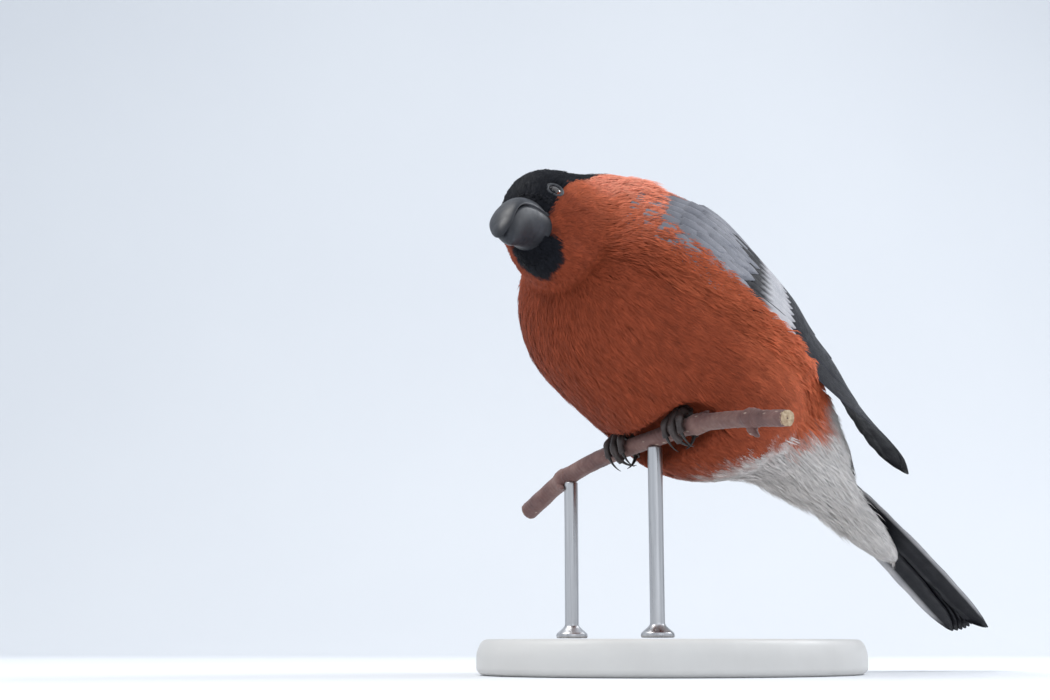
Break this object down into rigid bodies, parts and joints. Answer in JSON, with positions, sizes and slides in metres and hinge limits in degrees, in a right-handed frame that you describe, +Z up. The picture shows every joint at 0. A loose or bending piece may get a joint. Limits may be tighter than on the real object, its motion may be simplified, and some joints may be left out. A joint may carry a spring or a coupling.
{
  "type": "perched bullfinch model",
  "caption": "Life-size still model of a male bullfinch with puffed coat, black cap and stout bill, perched on a short twig held by rods over a plain oval base.",
  "frame": {"origin": "middle of the stand base's underside, on the surface that it stands on", "axes": "+Z up; the bird faces -Y, with its left side towards +X and its tail towards +Y"},
  "size_m": [0.09, 0.1396, 0.1018],
  "materials": {
    "cap_feathers": "black feathers with a faint blue gloss",
    "breast_feathers": "soft orange-red body feathers",
    "vent_feathers": "soft white feathers",
    "tail_feathers": "glossy black flight feathers with a pale outer edge",
    "wing_feathers": "blue-black flight feathers, grey shoulder and a pale grey bar",
    "horn": "slate-grey horn with a satin gloss",
    "eye": "very dark brown, wet gloss",
    "foot_scales": "blackish-brown scaled skin with black claws",
    "bark": "smooth purplish-brown bark with pale pores",
    "stand": "pale satin paint",
    "rod": "brushed steel rod"
  },
  "bodies": {
    "root": {"head": "cap_feathers", "neck": "breast_feathers", "torso": "breast_feathers", "vent": "vent_feathers", "tail": "tail_feathers", "wing_left": "wing_feathers", "wing_right": "wing_feathers", "bill_upper": "horn", "bill_lower": "horn", "eye_left": "eye", "eye_right": "eye", "leg_left": "foot_scales", "leg_right": "foot_scales", "foot_left": "foot_scales", "foot_right": "foot_scales", "perch_twig": "bark", "stand_base": "stand", "stand_rod_middle": "rod", "stand_rod_side": "rod"}
  },
  "joints": []
}
